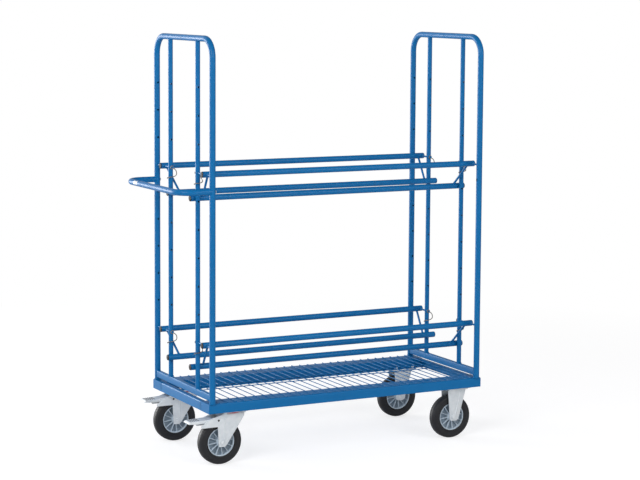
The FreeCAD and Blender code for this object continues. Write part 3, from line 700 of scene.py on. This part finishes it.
@dataclass
class EndFrame:
    """One end frame: its crossbar with rounded corners and the welds that hold it together."""

    end: End
    corner: float = 3 * MM
    tube_radius: float = TUBE_RADIUS

    def legs(self) -> list[Tube]:
        """The two legs of the hoop as plain tubes.

        Returns:
            The front leg and the back leg.
        """
        low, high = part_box(f"{self.end.value}_hoop")
        x = (low.x + high.x) / 2
        return [Tube(Vector((x, y, 0)), Vector((0, 0, 1)), self.tube_radius)
                for y in (low.y + self.tube_radius, high.y - self.tube_radius)]

    def section(self) -> list[tuple[float, float]]:
        """The rounded rectangle of the crossbar.

        Returns:
            Its points as X and Z offsets from the middle.
        """
        low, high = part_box(f"{self.end.value}_crossbar")
        wide, tall = (high.x - low.x) / 2 - self.corner, (high.z - low.z) / 2 - self.corner
        points = []
        for i, (a, b) in enumerate(((1, 1), (-1, 1), (-1, -1), (1, -1))):
            points += arc_points((a * wide, b * tall), self.corner, 90 * i, 90 * i + 90, 4)
        return points

    def crossbar(self) -> bpy.types.Object:
        """Saw the crossbar to the legs it is welded between.

        Returns:
            The crossbar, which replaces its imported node.
        """
        low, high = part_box(f"{self.end.value}_crossbar")
        middle = (low + high) / 2
        front, back = self.legs()
        ends = (lambda a, b: Vector((middle.x + a, front.middle.y + self.saddle(a), middle.z + b)),
                lambda a, b: Vector((middle.x + a, back.middle.y - self.saddle(a), middle.z + b)))
        work = bmesh.new()
        extrude(work, self.section(), ends)
        obj = finish_mesh(work, f"{self.end.value}_crossbar_sawn")
        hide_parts(f"{self.end.value}_crossbar")
        return obj

    def saddle(self, offset: float) -> float:
        """How far the skin of a leg stands off its axis at an offset in X."""
        return math.sqrt(self.tube_radius ** 2 - offset ** 2)

    def welds(self) -> bpy.types.Object:
        """Weld the feet, the crossbar and the uprights.

        Returns:
            All beads of this end frame as one piece.
        """
        seams = Seams()
        work = bmesh.new()
        low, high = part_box(f"{self.end.value}_crossbar")
        middle = (low + high) / 2
        hoop_low, hoop_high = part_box(f"{self.end.value}_hoop")
        deck = Face(Vector((0, 0, hoop_low.z)), Vector((0, 0, 1)))
        crest = Vector((self.legs()[0].middle.x, 0, hoop_high.z - self.tube_radius))
        bow = Tube(crest, Vector((0, 1, 0)), self.tube_radius)
        down, up = Vector((0, 0, -1)), Vector((0, 0, 1))
        for leg, inward in zip(self.legs(), (1, -1)):
            foot = Vector((leg.middle.x, leg.middle.y, low.z))
            seams.round_joint(work, foot, down, self.tube_radius, deck, steps=64)
            seams.bead(work, [Vector((middle.x + a, leg.middle.y + inward * self.saddle(a * 0.96),
                                      middle.z + b)) for a, b in self.section()])
        bar_top = Face(Vector((0, 0, high.z)), Vector((0, 0, 1)))
        for side in Side:
            post_low, post_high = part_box(f"{self.end.value}_{side.value}_upright")
            axis, radius = (post_low + post_high) / 2, (post_high.x - post_low.x) / 2
            seams.round_joint(work, axis, down, radius, bar_top, steps=52)
            seams.round_joint(work, axis, up, radius, bow, steps=52)
        return finish_mesh(work, f"{self.end.value}_frame_welds", 60)

    def build(self, palette: Palette) -> None:
        """Build the crossbar and the welds."""
        settle(self.crossbar(), palette, "blue_powder_coat")
        settle(self.welds(), palette, "blue_powder_coat")


@dataclass
class TyreRails:
    """The rails of one tier on one side: end plugs, struts' welds and hanger rods' welds."""

    tier: Tier
    side: Side
    tube_radius: float = TUBE_RADIUS
    rod_radius: float = 4.2 * MM
    strut_radius: float = 5 * MM
    strut_foot: float = 34 * MM
    strut_head: float = 12 * MM

    def rail(self, height: str) -> Tube:
        """One rail as a plain tube: height is top or low."""
        low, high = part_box(f"{self.tier.value}_tier_{self.side.value}_{height}_rail")
        return Tube((low + high) / 2, Vector((1, 0, 0)), self.tube_radius)

    def plugs(self, work: bmesh.types.BMesh) -> None:
        """Push a domed plug into both ends of both rails.

        Args:
            work: the mesh that collects the plugs.
        """
        for height in ("top", "low"):
            low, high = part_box(f"{self.tier.value}_tier_{self.side.value}_{height}_rail")
            axis = self.rail(height).middle
            for end, x in ((End.LEFT, low.x), (End.RIGHT, high.x)):
                plug(work, Vector((x, axis.y, axis.z)), end.outward, self.tube_radius)

    def welds(self) -> bpy.types.Object:
        """Weld the struts to both rails and the hanger rods to the top rail.

        Returns:
            All beads of this pair of rails as one piece.
        """
        seams = Seams(thickness=1.5 * MM)
        work = bmesh.new()
        top, low = self.rail("top"), self.rail("low")
        for end in End:
            box_low, box_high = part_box(f"{end.value}_hoop")
            x = (box_low.x + box_high.x) / 2
            foot = Vector((x - end.outward * self.strut_foot, low.middle.y, low.middle.z))
            head = Vector((x - end.outward * self.strut_head, top.middle.y, top.middle.z))
            middle, way = (foot + head) / 2, (head - foot).normalized()
            seams.round_joint(work, middle, way, self.strut_radius, top, steps=28)
            seams.round_joint(work, middle, -way, self.strut_radius, low, steps=28)
            for face in (-1, 1):
                start = Vector((x, top.middle.y + face * 2 * self.tube_radius, top.middle.z))
                seams.round_joint(work, start, Vector((0, -face, 0)), self.rod_radius, top, steps=24)
        return finish_mesh(work, f"{self.tier.value}_{self.side.value}_rail_welds", 60)

    def build(self, palette: Palette) -> None:
        """Build the welds."""
        settle(self.welds(), palette, "blue_powder_coat")


def plug(work: bmesh.types.BMesh, mouth: Vector, outward: int, radius: float) -> None:
    """Turn one end plug: a ribbed stem inside the tube and a domed cap outside.

    Args:
        work: the mesh that gets the plug.
        mouth: the middle of the tube's open end.
        outward: the sign of X that points out of the tube.
        radius: the tube's outer radius.
    """
    stem = radius - 2.6 * MM
    dome = [(-14 * MM, 0.0), (-14 * MM, stem - 1.2 * MM), (-12.5 * MM, stem), (-9 * MM, stem),
            (-8.4 * MM, stem - 0.9 * MM), (-6.4 * MM, stem - 0.9 * MM), (-5.8 * MM, stem), (0.0, stem),
            (0.02 * MM, radius - 0.2 * MM), (1.5 * MM, radius - 0.25 * MM), (2.5 * MM, radius - 1.3 * MM),
            (2.95 * MM, radius - 3.4 * MM), (3 * MM, 0.0)]
    steps = 40
    rings = []
    for x, r in dome:
        if r == 0.0:
            rings.append([work.verts.new(mouth + Vector((outward * x, 0, 0)))])
            continue
        rings.append([work.verts.new(mouth + Vector((outward * x, r * math.cos(t), r * math.sin(t))))
                      for t in (math.tau * k / steps for k in range(steps))])
    for first, second in zip(rings, rings[1:]):
        if len(first) == len(second):
            bridge(work, first, second)
            continue
        for k in range(steps):
            m = (k + 1) % steps
            if len(first) == 1:
                work.faces.new((first[0], second[m], second[k]))
            else:
                work.faces.new((first[k], first[m], second[0]))


@dataclass
class PushHandle:
    """The push handle's blank label, wrapped on the bar at the back."""

    width: float = 46 * MM
    spread: float = 66.0
    facing: float = 165.0
    from_end: float = 150 * MM
    lift: float = 0.15 * MM
    sink: float = 0.2 * MM
    tube_radius: float = TUBE_RADIUS

    def label(self) -> bpy.types.Object:
        """Wrap the label round the outer side of the bar.

        Returns:
            The label, a thin closed sheet.
        """
        low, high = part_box("push_handle")
        axis = Vector((low.x + self.tube_radius, 0, (low.z + high.z) / 2))
        middle = high.y - self.from_end
        outline = []
        for step, way in ((self.lift, 1), (-self.sink, -1)):
            turn = way * self.spread / 2
            outline += arc_points((axis.x, axis.z), self.tube_radius + step,
                                  self.facing - turn, self.facing + turn, 14)
        work = bmesh.new()
        extrude(work, outline, tuple((lambda a, b, y=y: Vector((a, y, b)))
                                     for y in (middle - self.width / 2, middle + self.width / 2)))
        return finish_mesh(work, "blank_label", 40)

    def build(self, palette: Palette) -> None:
        """Build the label and stick it on.

        Args:
            palette: the finishes.
        """
        obj = self.label()
        obj.data.materials.append(palette.label)
        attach(obj, ROOT)
        LOG.info("built %s", obj.name)


@dataclass
class Wheel:
    """One caster wheel: rubber tyre on a ribbed plastic rim."""

    name: str
    tyre_radius: float = 100 * MM
    seat_radius: float = 63 * MM
    tyre_half: float = 23 * MM
    rim_half: float = 19 * MM
    lip: float = 5.5 * MM
    hub_radius: float = 20 * MM
    hub_half: float = 27 * MM
    bore: float = 6.2 * MM
    ribs: int = 12

    def centre(self) -> Vector:
        """The middle of the wheel."""
        low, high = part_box(f"{self.name}_tyre")
        return (low + high) / 2

    def tyre(self) -> bpy.types.Object:
        """Turn the tyre: crowned tread, shoulder grooves and stepped side walls.

        Returns:
            The tyre.
        """
        edge, seat, half = self.tyre_radius, self.seat_radius, self.tyre_half
        side = [(seat, half - 3.4 * MM), (seat + 2.2 * MM, half - 2.0 * MM), (seat + 6 * MM, half - 1.2 * MM),
                (seat + 7 * MM, half - 2.0 * MM), (seat + 8.2 * MM, half - 2.0 * MM),
                (seat + 9.2 * MM, half - 0.6 * MM), (edge - 17 * MM, half), (edge - 13 * MM, half),
                (edge - 12.2 * MM, half - 1.0 * MM), (edge - 11 * MM, half - 1.0 * MM),
                (edge - 10.2 * MM, half - 0.6 * MM), (edge - 6 * MM, half - 2.6 * MM),
                (edge - 2.6 * MM, half - 6.2 * MM), (edge - 1.0 * MM, half - 10 * MM),
                (edge - 0.4 * MM, half - 12 * MM), (edge - 1.6 * MM, half - 12.6 * MM),
                (edge - 1.6 * MM, half - 13.8 * MM), (edge - 0.2 * MM, half - 14.4 * MM),
                (edge, 2.0 * MM)]
        work = bmesh.new()
        lathe(work, mirror_profile(side), self.centre(), 128)
        obj = finish_mesh(work, f"{self.name}_tyre_moulded", 50)
        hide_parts(f"{self.name}_tyre")
        return obj

    def rim(self) -> bpy.types.Object:
        """Mould the rim: lip rings, dished web, hub and tapered ribs on both faces.

        Returns:
            The rim.
        """
        edge, half, inner = self.seat_radius, self.rim_half, self.seat_radius - self.lip
        hub, web = self.hub_radius, 3 * MM
        side = [(self.bore, self.hub_half - 1 * MM), (self.bore + 1 * MM, self.hub_half),
                (hub - 4 * MM, self.hub_half), (hub - 2.5 * MM, self.hub_half - 2 * MM),
                (hub, web + 3 * MM), (hub + 3 * MM, web), (inner - 3 * MM, web), (inner, web + 2 * MM),
                (inner + 0.8 * MM, half - 1 * MM), (inner + 1.6 * MM, half), (edge - 1 * MM, half),
                (edge + 0.2 * MM, half - 1 * MM)]
        work = bmesh.new()
        lathe(work, mirror_profile(side), self.centre(), 112)
        for face in (-1, 1):
            for i in range(self.ribs):
                self.rib(work, face, math.tau * (i + 0.25) / self.ribs)
        obj = finish_mesh(work, f"{self.name}_rim_moulded", 38)
        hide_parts(f"{self.name}_rim")
        return obj

    def rib(self, work: bmesh.types.BMesh, face: int, turn: float) -> None:
        """Add one rib, tall at the hub and lower towards the lip.

        Args:
            work: the rim's mesh.
            face: -1 for the front face, 1 for the back face.
            turn: its direction in radians.
        """
        out = Vector((math.cos(turn), 0, math.sin(turn)))
        across = Vector((-math.sin(turn), 0, math.cos(turn)))
        along = Vector((0, face, 0))
        near, far = self.hub_radius - 1 * MM, self.seat_radius - self.lip + 0.6 * MM
        foot_half, shoulder_half, crest_half = 1.7 * MM, 1.2 * MM, 0.8 * MM
        sunk, rounding = 2.6 * MM, 0.6 * MM
        rings = []
        for reach, height in ((near, self.rim_half - 1.5 * MM), ((near + far) / 2, self.rim_half - 3 * MM),
                              (far, self.rim_half - 2 * MM)):
            foot = self.centre() + out * reach
            half = [(foot_half, sunk), (shoulder_half, height - rounding), (crest_half, height)]
            rings.append([work.verts.new(foot + across * w + along * h)
                          for w, h in [(-w, h) for w, h in half] + half[::-1]])
        for first, second in zip(rings, rings[1:]):
            for j in range(len(first) - 1):
                work.faces.new((first[j], first[j + 1], second[j + 1], second[j]))
        work.faces.new(rings[0])
        work.faces.new(list(reversed(rings[-1])))

    def build(self, palette: Palette) -> None:
        """Build the tyre and rim and let them roll with the wheel's body.

        Args:
            palette: the finishes.
        """
        body = body_of_node(f"{self.name}_tyre")
        settle(self.tyre(), palette, "wheel_rubber", body)
        settle(self.rim(), palette, "rim_plastic", body)


@dataclass
class Caster:
    """One caster: wheel, pressed housing with soft edges and the pieces of its head."""

    side: Side
    kind: CasterKind
    half_width: float = 33 * MM
    rib_out: float = 13 * MM
    rib_lift: float = 6 * MM
    rib_round: float = 3.2 * MM
    rib_swell: float = 0.9
    rivet_radius: float = 4.6 * MM
    pivot_back: float = 17 * MM
    pivot_level: float = 199 * MM
    grips: int = 5
    grip_radius: float = 1.5 * MM
    grip_half: float = 22 * MM
    grip_start: float = 16 * MM
    grip_pitch: float = 9 * MM
    tread_low: float = 3 * MM
    tread_rise: float = 6 * MM
    tread_lip: float = 8 * MM
    tread_gap: float = 12 * MM

    @property
    def name(self) -> str:
        """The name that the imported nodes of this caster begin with."""
        return f"{self.side.value}_{self.kind.value}"

    def axle_spot(self) -> Vector:
        """The middle of the axle."""
        low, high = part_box(f"{self.name}_tyre")
        return (low + high) / 2

    def rib_line(self) -> tuple[Vector, Vector]:
        """The foot and the top of the rib on the fork's middle plane.

        Returns:
            Both points; the rib of a fixed fork leans with its leg.
        """
        axle = self.axle_spot()
        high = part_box(f"{self.name}_fork")[1]
        lean, margin = (0.0, 16 * MM) if self.kind is CasterKind.SWIVEL else (0.22, 12 * MM)
        foot = axle + Vector((self.rib_out - 8 * MM * lean, 0, self.rib_lift))
        return foot, Vector((foot.x + lean * (high.z - foot.z), axle.y, high.z - margin))

    def pressed_ribs(self) -> bpy.types.Object:
        """Press one stiffening rib with rounded ends into the outside of each leg of the fork.

        Returns:
            The two ribs.
        """
        foot, top = self.rib_line()
        sides = 14
        taper = {0.0: 0.14, 0.02: 0.60, 0.05: 0.88, 0.10: 1.0, 0.90: 1.0, 0.95: 0.88, 0.98: 0.60, 1.0: 0.14}
        work = bmesh.new()
        for face in (-1, 1):
            wall = foot.y + face * (self.half_width - 0.5 * MM)
            rings = []
            for share, width in taper.items():
                spot, size = foot.lerp(top, share), self.rib_round * width
                rings.append([work.verts.new((spot.x + size * math.cos(t),
                                              wall + face * size * self.rib_swell * math.sin(t), spot.z))
                              for t in (math.tau * k / sides for k in range(sides))])
            join_rings(work, rings)
        return finish_mesh(work, f"{self.name}_fork_ribs", 70)

    def pivot_rivets(self) -> bpy.types.Object:
        """Head the rivets that the brake pedal turns on, one on each outer face.

        Returns:
            Both rivet heads.
        """
        axle = self.axle_spot()
        radius, sides = self.rivet_radius, 28
        work = bmesh.new()
        for face in (-1, 1):
            wall = axle.y + face * (self.half_width - 1.2 * MM)
            centre = Vector((axle.x - self.pivot_back, wall, self.pivot_level))
            dome = [(0.0, radius), (1.3 * MM, radius), (1.9 * MM, radius - 0.7 * MM),
                    (2.2 * MM, radius - 2.0 * MM), (1.7 * MM, radius - 2.8 * MM)]
            rings = [[work.verts.new(centre + Vector((r * math.cos(t), face * out, r * math.sin(t))))
                      for t in (math.tau * k / sides for k in range(sides))] for out, r in dome]
            join_rings(work, rings)
        return finish_mesh(work, f"{self.name}_pivot_rivets", 40)

    def tread_grips(self) -> bpy.types.Object:
        """Lay black grip bars across the tread of the brake pedal.

        Returns:
            The bars, which ride on the pedal.
        """
        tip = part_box(f"{self.name}_pedal")[0].x
        middle = self.axle_spot().y
        outline = arc_points((0.0, 0.0), self.grip_radius, 0, 360, 12)[:-1]
        work = bmesh.new()
        for i in range(self.grips):
            x = tip + self.grip_start + i * self.grip_pitch
            share = (x - tip - self.tread_lip) / self.rise_run(tip)
            z = self.pivot_level + self.tread_low + share * self.tread_rise
            extrude(work, outline, tuple((lambda a, b, y=y: Vector((x + a, y, z + b)))
                                         for y in (middle - self.grip_half, middle + self.grip_half)))
        return finish_mesh(work, f"{self.name}_tread_grips", 50)

    def rise_run(self, tip: float) -> float:
        """The length over which the tread of the pedal rises from its lip to its pivot."""
        return self.axle_spot().x - self.pivot_back - self.tread_gap - (tip + self.tread_lip)

    def build(self, palette: Palette) -> None:
        """Build the wheel and round the edges of every pressed and turned piece.

        Args:
            palette: the finishes.
        """
        name = self.name
        Wheel(name).build(palette)
        fork_body = body_of_node(f"{name}_fork")
        settle(self.pressed_ribs(), palette, "zinc_plate", fork_body)
        parts = {"fork": ("zinc_plate", 1.0), "axle": ("zinc_plate", 0.6)}
        if self.kind is CasterKind.SWIVEL:
            parts |= {"pedal": ("zinc_plate", 0.6), "plate": ("zinc_plate", 0.8), "seal": ("red_seal", 1.2)}
            settle(self.pivot_rivets(), palette, "black_plastic", fork_body)
            settle(self.tread_grips(), palette, "black_plastic", body_of_node(f"{name}_pedal"))
        for part, (slot, edge) in parts.items():
            node = f"{name}_{part}"
            settle(softened(node, edge), palette, slot, body_of_node(node))


@dataclass(frozen=True)
class Lamp:
    """One rectangular soft lamp: its place, its width and height in metres, its power in watts."""

    name: str
    spot: tuple[float, float, float]
    size: tuple[float, float]
    power: float


@dataclass
class Studio:
    """Pale floor, soft lamps, white surroundings and the camera.

    The camera's eye is in metres, its turn, dip and roll are in radians.
    """

    lamps: tuple[Lamp, ...] = (Lamp("key_lamp", (-4.6, -3.2, 3.6), (3.0, 2.4), 160),
                               Lamp("front_lamp", (1.6, -5.0, 3.0), (3.0, 2.0), 90),
                               Lamp("sheen_lamp", (-4.2, 5.6, 1.5), (3.4, 2.8), 320))
    lamp_aim: float = 0.9
    floor_reach: float = 60.0
    fade_start: float = 1.6
    fade_end: float = 4.2
    floor_colour: str = "#E6E6E6"
    shadow_colour: str = "#B4B4B6"
    floor_lift: float = 0.66
    world_strength: float = 0.44
    backdrop_way: tuple[float, float, float] = (-0.50, 0.86, 0.05)
    mirror_dark: float = 0.12
    mirror_bright: float = 1.0
    mirror_from: float = 0.25
    mirror_to: float = 0.95
    eye: tuple[float, float, float] = (-3.98763, -7.85964, 2.06533)
    turn: float = 0.477
    dip: float = 0.103
    roll: float = -0.006
    focal_mm: float = 109.66
    shift: float = -0.078

    def lay_floor(self) -> None:
        """Lay the floor: it takes soft shadows near the rack and fades to white far away."""
        mesh = bpy.data.meshes.new("floor")
        reach = self.floor_reach
        mesh.from_pydata([(-reach, -reach, 0), (reach, -reach, 0), (reach, reach, 0), (-reach, reach, 0)],
                         [], [(0, 1, 2, 3)])
        floor = new_piece("floor", mesh)
        material, tree = new_material("studio_floor")
        place = add_node(tree, "ShaderNodeTexCoord")
        far = add_node(tree, "ShaderNodeVectorMath", {"operation": "LENGTH"},
                       {0: place.outputs["Object"]})
        fade = add_node(tree, "ShaderNodeMapRange",
                        {"From Min": self.fade_start, "From Max": self.fade_end},
                        {0: far.outputs["Value"]})
        ray = add_node(tree, "ShaderNodeLightPath")
        matt = add_node(tree, "ShaderNodeBsdfDiffuse", {"Color": linear(self.floor_colour)})
        dim = add_node(tree, "ShaderNodeBsdfDiffuse", {"Color": linear(self.shadow_colour)})
        lift = add_node(tree, "ShaderNodeEmission", {"Color": (1, 1, 1, 1), "Strength": self.floor_lift})
        seen = add_node(tree, "ShaderNodeAddShader", {}, {0: dim.outputs[0], 1: lift.outputs[0]})
        near = add_node(tree, "ShaderNodeMixShader", {}, {0: ray.outputs["Is Camera Ray"],
                                                         1: matt.outputs[0], 2: seen.outputs[0]})
        white = add_node(tree, "ShaderNodeEmission", {"Color": (1, 1, 1, 1), "Strength": 1.0})
        share = add_node(tree, "ShaderNodeMath", {"operation": "MULTIPLY"},
                         {0: fade.outputs[0], 1: ray.outputs["Is Camera Ray"]})
        both = add_node(tree, "ShaderNodeMixShader", {}, {0: share.outputs[0], 1: near.outputs[0],
                                                         2: white.outputs[0]})
        add_node(tree, "ShaderNodeOutputMaterial", {}, {0: both.outputs[0]})
        mesh.materials.append(material)

    def light_world(self) -> None:
        """Surround the rack with plain white; glossy surfaces mirror a backdrop behind its left end."""
        world = bpy.data.worlds.new("studio")
        world.use_nodes = True
        tree = world.node_tree
        tree.nodes.clear()
        ray = add_node(tree, "ShaderNodeLightPath")
        seen = add_node(tree, "ShaderNodeMath", {"operation": "MAXIMUM"},
                        {0: ray.outputs["Is Camera Ray"], 1: ray.outputs["Is Transmission Ray"]})
        place = add_node(tree, "ShaderNodeTexCoord")
        side = add_node(tree, "ShaderNodeVectorMath", {"operation": "DOT_PRODUCT", 1: self.backdrop_way},
                        {0: place.outputs["Generated"]})
        mirrored = add_node(tree, "ShaderNodeMapRange",
                            {"interpolation_type": "SMOOTHSTEP",
                             "From Min": self.mirror_from, "From Max": self.mirror_to,
                             "To Min": self.mirror_dark, "To Max": self.mirror_bright},
                            {0: side.outputs["Value"]})
        plain = add_node(tree, "ShaderNodeMapRange", {"To Min": self.world_strength},
                         {0: ray.outputs["Is Glossy Ray"], "To Max": mirrored.outputs[0]})
        strength = add_node(tree, "ShaderNodeMapRange", {"To Max": 1.0},
                            {0: seen.outputs[0], "To Min": plain.outputs[0]})
        glow = add_node(tree, "ShaderNodeBackground", {"Color": (1, 1, 1, 1)},
                        {"Strength": strength.outputs[0]})
        add_node(tree, "ShaderNodeOutputWorld", {}, {0: glow.outputs[0]})
        bpy.context.scene.world = world

    def hang_lamp(self, lamp: Lamp) -> None:
        """Hang one lamp so that it faces the rack.

        Args:
            lamp: the lamp.
        """
        light = bpy.data.lights.new(lamp.name, "AREA")
        light.shape = "RECTANGLE"
        light.size, light.size_y = lamp.size
        light.energy = lamp.power
        obj = bpy.data.objects.new(lamp.name, light)
        obj.location = lamp.spot
        aim = Vector((0, 0, self.lamp_aim)) - Vector(lamp.spot)
        obj.rotation_euler = aim.to_track_quat("-Z", "Y").to_euler()
        obj.visible_camera = False
        bpy.context.collection.objects.link(obj)

    def set_camera(self) -> None:
        """Stand the camera in front of the rack's left end."""
        camera = bpy.data.cameras.new("camera")
        camera.lens = self.focal_mm
        camera.shift_y = self.shift
        camera.clip_end = 200
        obj = bpy.data.objects.new("camera", camera)
        bpy.context.collection.objects.link(obj)
        ahead = Vector((math.sin(self.turn) * math.cos(self.dip),
                        math.cos(self.turn) * math.cos(self.dip), -math.sin(self.dip)))
        right = ahead.cross(Vector((0, 0, 1))).normalized()
        down = ahead.cross(right)
        across = math.cos(self.roll) * right + math.sin(self.roll) * down
        up = math.sin(self.roll) * right - math.cos(self.roll) * down
        turn = Matrix((across, up, -ahead)).transposed().to_4x4()
        obj.matrix_world = Matrix.Translation(self.eye) @ turn
        bpy.context.scene.camera = obj

    def build(self) -> None:
        """Set up floor, light and camera."""
        self.lay_floor()
        self.light_world()
        for lamp in self.lamps:
            self.hang_lamp(lamp)
        self.set_camera()
        bpy.context.scene.view_settings.view_transform = "Standard"


def main() -> None:
    """Dress the frame, build every sub-assembly, then the studio."""
    logging.basicConfig(level=logging.INFO)
    palette = Palette()
    dress_frame(palette)
    DeckFrame().build(palette)
    for end in End:
        EndFrame(end).build(palette)
    plugs = bmesh.new()
    for tier in Tier:
        for side in Side:
            rails = TyreRails(tier, side)
            rails.plugs(plugs)
            rails.build(palette)
    caps = finish_mesh(plugs, "rail_end_plugs_moulded", 34)
    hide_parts("rail_end_plugs")
    settle(caps, palette, "black_plastic")
    PushHandle().build(palette)
    for side in Side:
        for kind in CasterKind:
            Caster(side, kind).build(palette)
    Studio().build()


if __name__ == "__main__":
    main()
